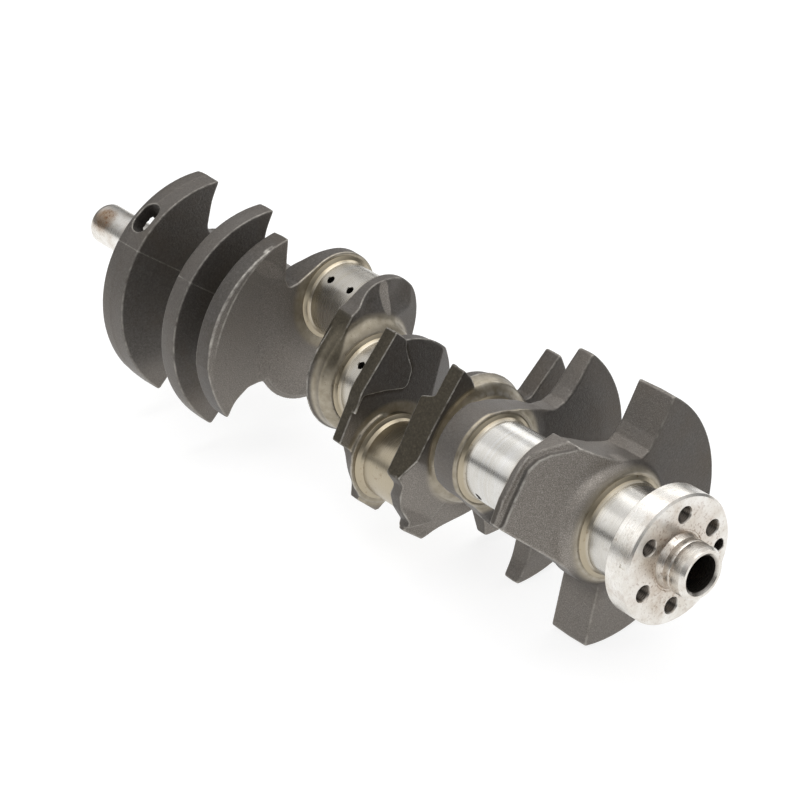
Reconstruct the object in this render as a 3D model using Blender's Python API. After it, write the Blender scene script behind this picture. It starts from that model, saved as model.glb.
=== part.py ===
"""Crankshaft of a small V8 engine: four crankpins at 90 degrees, five main journals, six counterweights.

Built in millimetres along its own axis, then moved so that the middle of the bounding box's base is the origin:
+X runs along the shaft from the nose to the flywheel flange, +Z is up, and the counterweights touch Z = 0.
"""

from math import atan2, ceil, cos, degrees, pi, radians, sin, tan

import bmesh
import bpy
from mathutils import Vector

# ---- driving dimensions, in millimetres and degrees ----
BORE_SPACING = 107.7  # from one main journal's middle to the next
THROW = 35.5  # crank axis to crankpin axis, half the stroke
MAIN_RADIUS = 29.0
PIN_RADIUS = 25.6
MAIN_HALF = 11.5  # half the length of main journals 1 to 4
PIN_HALF = 20.9
REAR_MAIN_START = 218.2  # from the middle journal's centre to the rear journal's front shoulder
REAR_MAIN_END = 247.7
FLANGE_END = 264.8
HUB_END = 284.1
NOSE_END = -326.8
NOSE_RADIUS = 15.2
FLANGE_RADIUS = 40.7
HUB_RADIUS = 16.5
HUB_BORE_RADIUS = 11.5
HUB_SEAT_RADIUS = 17.3  # of the shallow seat in the flange that the hub stands on
NOSE_SEAT_RADIUS = 19.0  # of the same seat in the first main journal's front shoulder
SEAT_DEPTH = 0.2
BOLT_CIRCLE_RADIUS = 28.8
BOLT_HOLE_RADIUS = 4.6
FIRST_BOLT_ANGLE = 23.5
COUNTERWEIGHT_RADIUS = 81.0  # webs 1, 2, 3, 7 and 8
SMALLER_COUNTERWEIGHT_RADIUS = 79.0  # web 6
MAIN_BOSS = 38.0  # radius of a web round its main journal
PIN_BOSS = 31.5  # radius of a web round its crankpin
BALANCE_HOLE_RADIUS = 7.6
BALANCE_HOLE_DEPTH = 30.0
FILLET = 1.6  # journal fillets
RELIEF = 0.5  # how far a fillet stands over its journal's ground surface
HALF_GAP = 0.15  # half the 0.3 mm left between neighbouring sections
FIRST_PIN_ANGLE = -35.5  # about +X, from +Y towards +Z
PIN_ANGLES = [FIRST_PIN_ANGLE, FIRST_PIN_ANGLE + 90, FIRST_PIN_ANGLE - 90, FIRST_PIN_ANGLE + 180]
ROUND_STEPS = 44
ARC_STEP = 7.5  # degrees between points of an outline's arc
MM = 0.001
MIDDLE = (NOSE_END + HUB_END) / 2
ORIGIN = Vector((MIDDLE, 0.0, -COUNTERWEIGHT_RADIUS))  # on the shaft's own axis system


# ---- materials ----
def material(name, colour, roughness, metallic):
    made = bpy.data.materials.new(name)
    made.use_nodes = True
    shader = made.node_tree.nodes["Principled BSDF"]
    shader.inputs["Base Color"].default_value = (*colour, 1.0)
    shader.inputs["Roughness"].default_value = roughness
    shader.inputs["Metallic"].default_value = metallic
    return made


def ground_steel(name):
    return material(name + "_ground", (0.66, 0.63, 0.56), 0.22, 1.0)


def cast_iron(name):
    return material(name + "_cast", (0.15, 0.135, 0.115), 0.62, 0.75)


def turned_steel(name):
    return material(name + "_turned", (0.60, 0.57, 0.52), 0.34, 1.0)


# ---- placing ----
def placed(point):
    """A point on the shaft's own axes, in mm, as a world point in metres."""
    return (Vector(point) - ORIGIN) * MM


def add_object(name, mesh_data, finish, hidden=False):
    mesh = bpy.data.meshes.new(name)
    mesh_data.normal_update()
    mesh_data.to_mesh(mesh)
    mesh_data.free()
    made = bpy.data.objects.new(name, mesh)
    bpy.context.scene.collection.objects.link(made)
    if hidden:
        made.hide_render = True
        made.display_type = "WIRE"
    else:
        mesh.materials.append(finish(name))
    return made


def smooth(made):
    made.data.shade_smooth()
    made.data.set_sharp_from_angle(angle=radians(35))


def boolean(target, other, operation):
    change = target.modifiers.new(operation.title(), "BOOLEAN")
    change.operation = operation
    change.solver = "EXACT"
    change.object = other


# ---- turned shapes ----
def turned(profile, centre=(0.0, 0.0), steps=ROUND_STEPS):
    """A closed solid of revolution about a line along X. profile is [(x, radius), ...] from one end to the other.

    A radius of 0 at an end closes it there; otherwise the first and last rings join into a bore."""
    bm = bmesh.new()
    rings = []
    for x, radius in profile:
        if radius == 0:
            rings.append([bm.verts.new(placed((x, *centre)))])
            continue
        ring = []
        for step in range(steps):
            angle = 2 * pi * step / steps
            spot = (x, centre[0] + radius * cos(angle), centre[1] + radius * sin(angle))
            ring.append(bm.verts.new(placed(spot)))
        rings.append(ring)
    pairs = list(zip(rings, rings[1:]))
    if len(rings[0]) > 1:
        pairs.append((rings[-1], rings[0]))
    for near, far in pairs:
        for step in range(steps):
            after = (step + 1) % steps
            corners = [near[step % len(near)], near[after % len(near)], far[after % len(far)], far[step % len(far)]]
            bm.faces.new(dict.fromkeys(corners))
    bmesh.ops.recalc_face_normals(bm, faces=bm.faces)
    return bm


def journal_profile(start, end, radius):
    """A ground journal with a raised rolled fillet at each end."""
    low, high = start + HALF_GAP, end - HALF_GAP
    return [
        (low, 0),
        (low, radius + RELIEF),
        (low + FILLET, radius),
        (high - FILLET, radius),
        (high, radius + RELIEF),
        (high, 0),
    ]


def pin_centre(number):
    angle = radians(PIN_ANGLES[number - 1])
    return (THROW * cos(angle), THROW * sin(angle))


def pin_middle(number):
    return (number - 2.5) * BORE_SPACING


def main_middle(number):
    return (number - 3) * BORE_SPACING


# ---- outlines of the webs, in the plane across the shaft ----
def on_circle(radius, angle, centre=(0.0, 0.0)):
    return (centre[0] + radius * cos(radians(angle)), centre[1] + radius * sin(radians(angle)))


def arc(radius, start, end, centre=(0.0, 0.0)):
    """Plain points along an arc, which takes the shorter steps that fit between start and end."""
    count = max(1, ceil(abs(end - start) / ARC_STEP))
    angles = [start + (end - start) * step / count for step in range(count + 1)]
    return [(*on_circle(radius, angle, centre), 0.0) for angle in angles]


def round_corners(points):
    """Replaces each (y, z, radius) by an arc of that radius, as far as its neighbours leave room."""
    done = []
    for index, (y, z, radius) in enumerate(points):
        here = Vector((y, z))
        if radius == 0:
            done.append(here)
            continue
        before = Vector(points[index - 1][:2]) - here
        after = Vector(points[(index + 1) % len(points)][:2]) - here
        half = before.angle(after) / 2
        reach = min(radius / tan(half), before.length * 0.49, after.length * 0.49)
        true_radius = reach * tan(half)
        centre = here + (before.normalized() + after.normalized()).normalized() * (true_radius / sin(half))
        first = here + before.normalized() * reach
        last = here + after.normalized() * reach
        turn_from = atan2(first.y - centre.y, first.x - centre.x)
        sweep = atan2(last.y - centre.y, last.x - centre.x) - turn_from
        sweep = (sweep + pi) % (2 * pi) - pi
        count = max(2, ceil(abs(degrees(sweep)) / 30))
        for step in range(count + 1):
            angle = turn_from + sweep * step / count
            done.append(centre + Vector((cos(angle), sin(angle))) * true_radius)
    return done


def prism(outline, low, high, chamfer=1.2):
    """An outline extruded along X, with the edges of both end faces chamfered."""
    bm = bmesh.new()
    base = [bm.verts.new(placed((low, point.x, point.y))) for point in outline]
    face = bm.faces.new(base)
    lifted = bmesh.ops.extrude_face_region(bm, geom=[face])
    moved = [item for item in lifted["geom"] if isinstance(item, bmesh.types.BMVert)]
    bmesh.ops.translate(bm, verts=moved, vec=(MM * (high - low), 0, 0))
    bmesh.ops.recalc_face_normals(bm, faces=bm.faces)
    ends = [face for face in bm.faces if len(face.verts) == len(outline)]
    rims = {edge for face in ends for edge in face.edges}
    if chamfer:
        bmesh.ops.bevel(
            bm, geom=list(rims), offset=chamfer * MM, segments=1, affect="EDGES", profile=0.5, clamp_overlap=True
        )
        bmesh.ops.remove_doubles(bm, verts=bm.verts, dist=0.00002)
    return bm


def slope(bm, start, direction, full, thin, run):
    """Cuts the outer end of a web along a slanting plane.

    The plane meets the web's face x = full at the distance start along direction, and falls to x = thin
    after a further run."""
    way = Vector((0, *on_circle(1.0, direction)))
    spot = placed(Vector((full, 0, 0)) + way * start)
    fall = full - thin
    normal = Vector((run * (1 if fall > 0 else -1), 0, 0)) + way * abs(fall)
    everything = list(bm.verts) + list(bm.edges) + list(bm.faces)
    cut = bmesh.ops.bisect_plane(
        bm, geom=everything, dist=1e-7, plane_co=spot, plane_no=normal.normalized(), clear_outer=True
    )
    rim = [item for item in cut["geom_cut"] if isinstance(item, bmesh.types.BMEdge)]
    bmesh.ops.edgenet_fill(bm, edges=rim)
    bmesh.ops.recalc_face_normals(bm, faces=bm.faces)
    return bm


def turned_over(points):
    """The same outline after half a turn about the shaft."""
    return [(-y, -z, radius) for y, z, radius in points]


def fan(low, high, radius=COUNTERWEIGHT_RADIUS):
    """The counterweight's rim, from its lower corner round to its upper one, with both corners eased."""
    rim = arc(radius, low, high)
    rim[0] = (*rim[0][:2], 3.0)
    rim[-1] = (*rim[-1][:2], 3.0)
    return rim


def throw_end_outline(pin, first, last, radius=PIN_BOSS):
    return arc(radius, first, last, pin_centre(pin))


def outline_beside_rear_main():
    """Web 8: a half-disc counterweight, and a wide end over crankpin 4 with one square corner."""
    return (
        fan(-103.5, 57.0)
        + [(26.0, 38.0, 6.0), (18.0, 33.0, 6.0), (-6.0, 46.5, 14.0)]
        + throw_end_outline(4, 100, 148)
        + [(-69.0, 10.5, 2.5)]
        + arc(MAIN_BOSS, -131, -121)
        + [(*on_circle(38.5, -104), 7.0)]
    )


def outline_before_last_pin():
    """Web 7, and web 2 after half a turn: a wide counterweight and a round end over the crankpin."""
    return (
        fan(-92.5, 48.5)
        + [(30.0, 37.0, 6.0), (18.0, 33.5, 6.0), (-6.0, 47.5, 12.0)]
        + throw_end_outline(4, 92, 205, 31.0)
        + arc(MAIN_BOSS, -131, -100)
        + [(8.5, -46.0, 8.0), (3.0, -68.0, 40.0)]
    )


def side_blade():
    """The straight thin-edged side that webs 5 and 6 carry away from their counterweight."""
    return [(-10.5, 54.0, 1.5), (-16.5, 57.0, 1.5), (-45.0, 18.0, 60.0), (-62.0, -7.0, 1.5)]


def end_lug():
    """The rim of webs 5 and 6 round crankpin 3, with its cast lug."""
    return [(-53.0, -17.0, 3.0), (-48.0, -27.0, 3.0), (-45.0, -44.0, 2.0), (-45.5, -55.5, 1.5)]


def outline_after_third_pin():
    """Web 6's plate, which leaves its blade to a separate pad."""
    return (
        fan(-79.0, 27.5, SMALLER_COUNTERWEIGHT_RADIUS)
        + [(*on_circle(45.0, 15), 7.0)]
        + arc(38.5, 30, 160)
        + [(-50.0, -10.0, 3.0)]
        + end_lug()
        + throw_end_outline(3, -118, -60, 33.0)
        + [(6.0, -46.0, 6.0)]
    )


def outline_before_second_pin():
    """Web 3: a counterweight opposite crankpin 2, and a plain round end over it."""
    return (
        fan(101.0, 206.0)
        + [(-49.0, -18.0, 6.0)]
        + arc(MAIN_BOSS, -156, -26)
        + throw_end_outline(2, -25, 112)
        + [(-9.0, 55.0, 6.0)]
    )


def outline_before_third_pin():
    """Web 5's plate, with its blade."""
    return (
        arc(38.5, -46, 92)
        + side_blade()
        + end_lug()
        + throw_end_outline(3, -118, -30, 32.5)
    )


def outline_after_second_pin():
    """Web 4: no counterweight, a round end over crankpin 2 and a flat shoulder beside it."""
    return (
        arc(37.0, 165, 322)
        + throw_end_outline(2, -24, 98)
        + [(2.0, 63.0, 3.0), (-30.0, 42.0, 5.0), (-37.0, 24.0, 5.0)]
    )


# ---- webs ----
def boss(name, low, high, radius, centre=(0.0, 0.0), chamfer=1.0):
    profile = [(low, 0), (low, radius - chamfer), (low + chamfer, radius)]
    profile += [(high - chamfer, radius), (high, radius - chamfer), (high, 0)]
    return add_object(name, turned(profile, centre, 40), None, hidden=True)


def balance_drill(name, x, angle):
    """A round drill that points in from the counterweight's rim."""
    bm = turned([(0, 0), (0, BALANCE_HOLE_RADIUS), (BALANCE_HOLE_DEPTH + 12, BALANCE_HOLE_RADIUS),
                 (BALANCE_HOLE_DEPTH + 12, 0)], steps=24)
    bmesh.ops.translate(bm, verts=bm.verts, vec=-placed((0, 0, 0)))
    hole = add_object(name, bm, None, hidden=True)
    hole.location = placed((x, *on_circle(COUNTERWEIGHT_RADIUS - BALANCE_HOLE_DEPTH, angle)))
    hole.rotation_euler = Vector((0, *on_circle(1.0, angle))).to_track_quat("X", "Z").to_euler()
    return hole


def web_1():
    """Its rim stands forward of the hub, and two overlapping balance holes run in through the rim."""
    low, high = main_middle(1) + MAIN_HALF + HALF_GAP, pin_middle(1) - PIN_HALF - HALF_GAP
    rim_low, rim_high = low - 5.0, high - 0.8
    shape = turned_over(outline_before_last_pin())
    web = add_object("web_1", prism(round_corners(shape), low, rim_high), cast_iron)
    lip = round_corners(arc(COUNTERWEIGHT_RADIUS - 0.05, 90, 226) + arc(66.0, 226, 90))
    lip_body = add_object("web_1_lip", prism(lip, rim_low, low + 9.0), None, hidden=True)
    boolean(web, lip_body, "UNION")
    boolean(web, boss("web_1_pin_boss", high - 12, high, PIN_BOSS - 2.5, pin_centre(1)), "UNION")
    groove = turned([(low - 3, 38.0), (low - 3, 64.0), (low + 3.5, 62.0), (low + 3.5, 41.0)])
    boolean(web, add_object("web_1_groove", groove, None, hidden=True), "DIFFERENCE")
    for number, angle in enumerate((124.0, 131.2)):
        boolean(web, balance_drill(f"balance_drill_{number}", low + 8.2, angle), "DIFFERENCE")
    return web


def middle_fan_web(name, shape, low, high, fan_low, fan_high, pin):
    """A web whose counterweight is thinner than its hub."""
    web = add_object(name, prism(round_corners(shape), fan_low, fan_high), cast_iron)
    boolean(web, boss(name + "_main_boss", low, high, MAIN_BOSS - 3), "UNION")
    boolean(web, boss(name + "_pin_boss", low, high, PIN_BOSS - 2.5, pin_centre(pin)), "UNION")
    return web


def web_2():
    low, high = pin_middle(1) + PIN_HALF + HALF_GAP, main_middle(2) - MAIN_HALF - HALF_GAP
    shape = turned_over(outline_before_last_pin())
    return middle_fan_web("web_2", shape, low, high, high - 14.0, high - 0.8, 1)


def web_7():
    low, high = main_middle(4) + MAIN_HALF + HALF_GAP, pin_middle(4) - PIN_HALF - HALF_GAP
    return middle_fan_web("web_7", outline_before_last_pin(), low, high, low + 2.7, high - 4.0, 4)


def web_3():
    low, high = main_middle(2) + MAIN_HALF + HALF_GAP, pin_middle(2) - PIN_HALF - HALF_GAP
    shape = round_corners(outline_before_second_pin())
    back = low + 1.0
    plate = slope(prism(shape, back, high), 36.0, PIN_ANGLES[1], back, high - 6.0, 31.0)
    web = add_object("web_3", plate, cast_iron)
    boolean(web, boss("web_3_main_boss", low, high - 3, MAIN_BOSS - 0.5), "UNION")
    return web


def web_6():
    low, high = pin_middle(3) + PIN_HALF + HALF_GAP, main_middle(4) - MAIN_HALF - HALF_GAP
    shape = round_corners(outline_after_third_pin())
    plate = slope(prism(shape, low, low + 12.5), 40.0, PIN_ANGLES[2], low + 12.5, low + 6.0, 30.0)
    web = add_object("web_6", plate, cast_iron)
    boolean(web, boss("web_6_main_boss", low + 3, high, MAIN_BOSS), "UNION")
    blade = round_corners(side_blade() + [(-50.0, -14.0, 3.0), (-30.0, -14.0, 2.0), (0.0, 10.0, 4.0)])
    pad = add_object("web_6_blade", prism(blade, low + 7.5, high - 0.4, 0.8), None, hidden=True)
    boolean(web, pad, "UNION")
    return web


def web_4():
    low, high = pin_middle(2) + PIN_HALF + HALF_GAP, main_middle(3) - MAIN_HALF - HALF_GAP
    shape = round_corners(outline_after_second_pin())
    cheek = slope(prism(shape, low, high - 3.0), 40.0, PIN_ANGLES[1], high - 3.0, high - 14.0, 27.0)
    cheek = slope(cheek, 36.0, 10.0, high - 3.0, high - 15.0, 18.0)
    web = add_object("web_4", cheek, cast_iron)
    boolean(web, boss("web_4_main_boss", low + 4, high, MAIN_BOSS), "UNION")
    return web


def web_5():
    low, high = main_middle(3) + MAIN_HALF + HALF_GAP, pin_middle(3) - PIN_HALF - HALF_GAP
    plate = prism(round_corners(outline_before_third_pin()), high - 9.0, high)
    web = add_object("web_5", plate, cast_iron)
    boolean(web, boss("web_5_main_boss", low, high - 4, MAIN_BOSS), "UNION")
    end = round_corners(end_lug() + throw_end_outline(3, -118, -40, 32.0) + [(20.0, -10.0, 3.0)])
    cheek = slope(prism(end, low + 3.0, high - 2.5), 36.0, PIN_ANGLES[2], low + 3.0, low + 8.0, 30.0)
    boolean(web, add_object("web_5_pin_end", cheek, None, hidden=True), "UNION")
    return web


def web_8():
    low, high = pin_middle(4) + PIN_HALF + HALF_GAP, REAR_MAIN_START - HALF_GAP
    shape = round_corners(outline_beside_rear_main())
    face = low + 27.0
    cheek = slope(prism(shape, low, face), 28.0, PIN_ANGLES[3], face, low + 14.0, 40.0)
    web = add_object("web_8", cheek, cast_iron)
    boolean(web, boss("web_8_main_boss", face - 8, high, MAIN_BOSS), "UNION")
    return web


# ---- shaft ends ----
def nose_spindle():
    low, high = NOSE_END, main_middle(1) - MAIN_HALF - HALF_GAP
    profile = [(low, 0), (low, NOSE_RADIUS - 1.5), (low + 1.5, NOSE_RADIUS)]
    profile += [(high - 3, NOSE_RADIUS), (high, NOSE_RADIUS + 3), (high, 0)]
    made = add_object("nose_spindle", turned(profile), ground_steel)
    smooth(made)
    return made


def rear_flange():
    low, high = REAR_MAIN_END + HALF_GAP, FLANGE_END - HALF_GAP
    profile = [(low, HUB_BORE_RADIUS), (low, FLANGE_RADIUS), (high - 1.0, FLANGE_RADIUS)]
    profile += [(high, FLANGE_RADIUS - 1.0), (high, HUB_SEAT_RADIUS)]
    profile += [(high - SEAT_DEPTH, HUB_SEAT_RADIUS), (high - SEAT_DEPTH, HUB_BORE_RADIUS)]
    made = add_object("rear_flange", turned(profile, steps=60), turned_steel)
    for number in range(6):
        spot = on_circle(BOLT_CIRCLE_RADIUS, 60.0 * number + FIRST_BOLT_ANGLE)
        drill = turned(
            [
                (low - 2, 0),
                (low - 2, BOLT_HOLE_RADIUS),
                (high - 0.9, BOLT_HOLE_RADIUS),
                (high + 1.1, BOLT_HOLE_RADIUS + 2.0),
                (high + 1.1, 0),
            ],
            spot,
            20,
        )
        boolean(made, add_object(f"flange_drill_{number}", drill, None, hidden=True), "DIFFERENCE")
    smooth(made)
    return made


def pilot_hub():
    low, high = FLANGE_END + HALF_GAP, HUB_END
    profile = [
        (low, HUB_BORE_RADIUS),
        (low, HUB_RADIUS - 0.4),
        (low + 3.0, HUB_RADIUS - 0.4),
        (low + 3.4, HUB_RADIUS),
        (high - 1.5, HUB_RADIUS),
        (high, HUB_RADIUS - 1.5),
        (high, HUB_BORE_RADIUS + 1.6),
        (high - 1.6, HUB_BORE_RADIUS),
    ]
    made = add_object("pilot_hub", turned(profile), turned_steel)
    smooth(made)
    return made


def journals():
    ends = [(main_middle(number) - MAIN_HALF, main_middle(number) + MAIN_HALF) for number in range(1, 5)]
    ends.append((REAR_MAIN_START, REAR_MAIN_END))
    for number, (start, end) in enumerate(ends, 1):
        profile = journal_profile(start, end, MAIN_RADIUS)
        if number == 1:
            front = profile[0][0]
            profile[:1] = [(front + SEAT_DEPTH, 0), (front + SEAT_DEPTH, NOSE_SEAT_RADIUS), (front, NOSE_SEAT_RADIUS)]
        bm = turned(profile)
        smooth(add_object(f"main_journal_{number}", bm, ground_steel))
    for number in range(1, 5):
        middle = pin_middle(number)
        bm = turned(journal_profile(middle - PIN_HALF, middle + PIN_HALF, PIN_RADIUS), pin_centre(number))
        smooth(add_object(f"crankpin_{number}", bm, ground_steel))


def main():
    for old in list(bpy.data.objects):
        bpy.data.objects.remove(old)
    nose_spindle()
    journals()
    for make in (web_1, web_2, web_3, web_4, web_5, web_6, web_7, web_8):
        smooth(make())
    rear_flange()
    pilot_hub()


main()
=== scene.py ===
"""Crankshaft of a small V8 engine, dressed for close views: cast webs, ground journals, turned flange.

Every shape is described in millimetres on the shaft's own axes: x along the shaft from the middle
main journal towards the flange, z up, and angles about +x measured from +y towards +z.
"""

from math import atan2, ceil, cos, degrees, pi, radians, sin, tan

import bmesh
import bpy
import numpy as np
from mathutils import Matrix, Vector

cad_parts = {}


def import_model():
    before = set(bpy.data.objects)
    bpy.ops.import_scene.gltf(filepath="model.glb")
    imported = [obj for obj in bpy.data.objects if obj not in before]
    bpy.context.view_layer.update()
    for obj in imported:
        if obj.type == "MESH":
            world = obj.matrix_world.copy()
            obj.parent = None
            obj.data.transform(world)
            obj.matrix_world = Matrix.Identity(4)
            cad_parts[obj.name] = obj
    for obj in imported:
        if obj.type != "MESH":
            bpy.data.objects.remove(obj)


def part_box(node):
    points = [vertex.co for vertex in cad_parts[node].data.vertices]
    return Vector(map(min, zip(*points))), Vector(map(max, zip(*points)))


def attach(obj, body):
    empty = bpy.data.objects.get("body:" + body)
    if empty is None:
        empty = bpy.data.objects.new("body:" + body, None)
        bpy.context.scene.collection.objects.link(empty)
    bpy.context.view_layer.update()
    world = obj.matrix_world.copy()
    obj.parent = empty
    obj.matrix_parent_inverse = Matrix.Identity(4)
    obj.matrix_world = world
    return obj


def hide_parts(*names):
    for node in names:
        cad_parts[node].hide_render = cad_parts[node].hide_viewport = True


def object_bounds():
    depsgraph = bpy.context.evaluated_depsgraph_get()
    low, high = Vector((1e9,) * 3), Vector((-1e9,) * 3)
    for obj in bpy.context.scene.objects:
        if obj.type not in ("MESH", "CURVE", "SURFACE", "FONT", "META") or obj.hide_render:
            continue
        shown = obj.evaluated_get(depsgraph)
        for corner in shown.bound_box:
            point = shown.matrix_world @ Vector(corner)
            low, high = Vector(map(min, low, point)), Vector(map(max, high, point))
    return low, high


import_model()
cad_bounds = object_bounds()
middle_low, middle_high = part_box("main_journal_3")
AXIS = (middle_low + middle_high) / 2
MM = 0.001
GRID = 0.8

# ---- sizes in millimetres and angles in degrees ----
BORE_SPACING = 107.7
THROW = 35.5
MAIN_RADIUS = 29.0
PIN_RADIUS = 25.6
MAIN_HALF = 11.5
PIN_HALF = 20.9
REAR_MAIN = (218.2, 247.7)
FLANGE = (247.7, 264.8)
HUB_END = 284.1
NOSE_END = -326.8
NOSE_RADIUS = 15.2
FLANGE_RADIUS = 40.7
HUB_RADIUS = 16.5
BORE_RADIUS = 11.5
BOLT_CIRCLE = 28.8
FIRST_BOLT = 23.5
RIM = 81.0
INNER_RIM = 79.0
MAIN_BOSS = 38.0
LIP = 33.0
THRUST_RING = 3.4
GROUND_FILLET = 1.8
SHARP = 28
PIN_ANGLES = {1: -35.5, 2: 54.5, 3: -125.5, 4: 144.5}
WEB_ENDS = {
    "web_1": (-203.75, -182.6),
    "web_2": (-140.5, -119.35),
    "web_3": (-96.05, -74.9),
    "web_4": (-32.8, -11.65),
    "web_5": (11.65, 32.8),
    "web_6": (74.9, 96.05),
    "web_7": (119.35, 140.5),
    "web_8": (182.6, 218.05),
}
HOLE_OF_WEB_1 = 127.6
DOWEL = (32.8, -4.3)
CRESCENT = (97.0, (19.0, -8.5))
# ---- how far a web's edges and corners are felt for its finish, a painted highlight on edges and painted shade in creases, and how strongly ----
EDGE_REACH = 1.3
CREASE_SHADE_REACH = 4.0
MOST_BEND = 3.0
MOULD_LINE_AND_HIGHLIGHT_SHARE = 1.2
WEB_8_CREASE_SHADE = 0.25
SMALL = 1e-6


def world(point):
    return AXIS + Vector(point) * MM


def on_circle(radius, angle, centre=(0.0, 0.0)):
    return (centre[0] + radius * cos(radians(angle)), centre[1] + radius * sin(radians(angle)))


def pin_centre(number):
    return on_circle(THROW, PIN_ANGLES[number])


def bolt_spots():
    return [on_circle(BOLT_CIRCLE, 60.0 * number + FIRST_BOLT) for number in range(6)]


def pin_middle(number):
    return (number - 2.5) * BORE_SPACING


def main_middle(number):
    return (number - 3) * BORE_SPACING


# ---- outlines across the shaft ----
def arc(radius, start, end, centre=(0.0, 0.0), step=4.0):
    count = max(1, ceil(abs(end - start) / step))
    angles = [start + (end - start) * k / count for k in range(count + 1)]
    return [(*on_circle(radius, angle, centre), 0.0) for angle in angles]


def rounded(points):
    """Replaces each (y, z, radius) by an arc of that radius, as far as its neighbours leave room."""
    done = []
    for index, (y, z, radius) in enumerate(points):
        here = Vector((y, z))
        if radius == 0:
            done.append((y, z))
            continue
        before = Vector(points[index - 1][:2]) - here
        after = Vector(points[(index + 1) % len(points)][:2]) - here
        half = before.angle(after) / 2
        reach = min(radius / tan(half), before.length * 0.49, after.length * 0.49)
        true_radius = reach * tan(half)
        before.normalize()
        after.normalize()
        centre = here + (before + after).normalized() * (true_radius / sin(half))
        first = here + before * reach
        last = here + after * reach
        start = atan2(first.y - centre.y, first.x - centre.x)
        sweep = atan2(last.y - centre.y, last.x - centre.x) - start
        sweep = (sweep + pi) % (2 * pi) - pi
        count = max(2, ceil(abs(degrees(sweep)) / 10))
        for k in range(count + 1):
            turn = start + sweep * k / count
            spot = centre + Vector((cos(turn), sin(turn))) * true_radius
            done.append((spot.x, spot.y))
    return done


def turned_over(points):
    return [(-y, -z, radius) for y, z, radius in points]


# ---- distance fields ----
def polygon(y, z, outline):
    """Signed distance in the plane across the shaft, negative inside."""
    y, z = np.broadcast_arrays(y, z)
    nearest = np.full(y.shape, 1e9, np.float32)
    inside = np.zeros(y.shape, bool)
    for (ay, az), (by, bz) in zip(outline, outline[1:] + outline[:1]):
        ey, ez = by - ay, bz - az
        wy, wz = y - ay, z - az
        along = np.clip((wy * ey + wz * ez) / max(ey * ey + ez * ez, SMALL), 0, 1)
        nearest = np.minimum(nearest, (wy - along * ey) ** 2 + (wz - along * ez) ** 2)
        if az != bz:
            inside ^= ((az > z) != (bz > z)) & (wy < ey * wz / ez)
    distance = np.sqrt(nearest)
    return np.where(inside, -distance, distance)


def smooth_min(a, b, width):
    share = np.clip(0.5 + 0.5 * (b - a) / width, 0, 1)
    return b * (1 - share) + a * share - width * share * (1 - share)


def smooth_max(a, b, width):
    return -smooth_min(-a, -b, width)


def ramp(value, start, end):
    """0 before start and 1 after end, with eased ends."""
    t = np.clip((value - start) / (end - start), 0, 1)
    return t * t * (3 - 2 * t)


def away(y, z, centre=(0.0, 0.0)):
    return np.sqrt((y - centre[0]) ** 2 + (z - centre[1]) ** 2)


def disc(y, z, radius, centre=(0.0, 0.0)):
    return away(y, z, centre) - radius


def slab(x, low, high):
    return np.maximum(low - x, x - high)


def block(flat, x, low, high, edge):
    """A flat outline thickened from low to high, with edges eased by edge."""
    return smooth_max(flat, slab(x, low, high), edge)


def toward(y, z, angle):
    """How far out from the axis a point lies in the direction of angle."""
    return y * cos(radians(angle)) + z * sin(radians(angle))


def beside(y, z, angle):
    """How far a point lies to the side of the line from the axis in the direction of angle."""
    return z * cos(radians(angle)) - y * sin(radians(angle))


# ---- webs ----
def fan(radius, low, high):
    """The rim of a counterweight, with its two corners eased."""
    ease = 3.0
    rim = arc(radius, low, high, step=3.0)
    rim[0] = (*rim[0][:2], ease)
    rim[-1] = (*rim[-1][:2], ease)
    return rim


OUTER_WEB = rounded(
    fan(RIM, -92.5, 48.5)
    + [(44, 51, 0), (36, 42, 0), (30, 37, 0), (23, 34.5, 0), (14, 35.5, 0), (4, 41, 0)]
    + [(-8, 46, 0), (-20, 49, 0)]
    + arc(31.0, 98, 205, pin_centre(4))
    + arc(MAIN_BOSS, -131, -100)
    + [(8.5, -46.0, 8.0), (3.0, -68.0, 40.0)]
)
OUTER_WEB_TURNED = rounded(
    turned_over(
        fan(RIM, -92.5, 48.5)
        + [(30.0, 37.0, 8.0), (18.0, 33.5, 6.0), (-6.0, 47.5, 12.0)]
        + arc(31.0, 92, 205, pin_centre(4))
        + arc(MAIN_BOSS, -131, -100)
        + [(8.5, -46.0, 8.0), (3.0, -68.0, 40.0)]
    )
)
REAR_WEB = rounded(
    fan(RIM, -103.5, 57.0)
    + [(38, 57, 0), (31, 45, 0), (26, 38.5, 0), (20, 35, 0), (14, 36.5, 0), (4, 40, 0)]
    + [(-9, 46.5, 0), (-19, 51.5, 0), (-22.5, 54.8, 0.5)]
    + arc(31.8, 100, 150, pin_centre(4))
    + [(-63.5, 26.5, 0), (-70.0, 12.0, 1.2), (-56.0, 0.5, 0), (-41.0, -13.0, 0)]
    + arc(MAIN_BOSS, -150, -121)
    + [(*on_circle(38.5, -104), 7.0)]
)
REAR_STEP = rounded(
    [(-20.5, 120.0, 0), (-20.5, 51.0, 0), (-26.0, 50.0, 4.0), (-34.0, 49.0, 0), (-41.0, 46.3, 0)]
    + [(-47.0, 41.5, 0), (-53.0, 32.5, 0), (-59.0, 23.5, 0), (-65.0, 13.5, 0), (-72.0, 4.0, 0)]
    + [(-72.0, -120.0, 0), (120.0, -120.0, 0), (120.0, 120.0, 0)]
)
THIRD_WEB = rounded(
    arc(RIM, 100.5, 176)
    + [(*on_circle(RIM - 0.16 * (angle - 176), angle), 0.0) for angle in range(180, 206, 4)]
    + [(*on_circle(75.5, 207), 2.0)]
    + [(-61, -24, 20), (-50.0, -17.0, 6.0)]
    + arc(MAIN_BOSS, -156, -26)
    + arc(31.5, -25, 112, pin_centre(2))
    + [(-11.0, 48.5, 4.0), (-17.5, 47.0, 2.0), (-19.5, 53.0, 5.0)]
)
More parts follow.
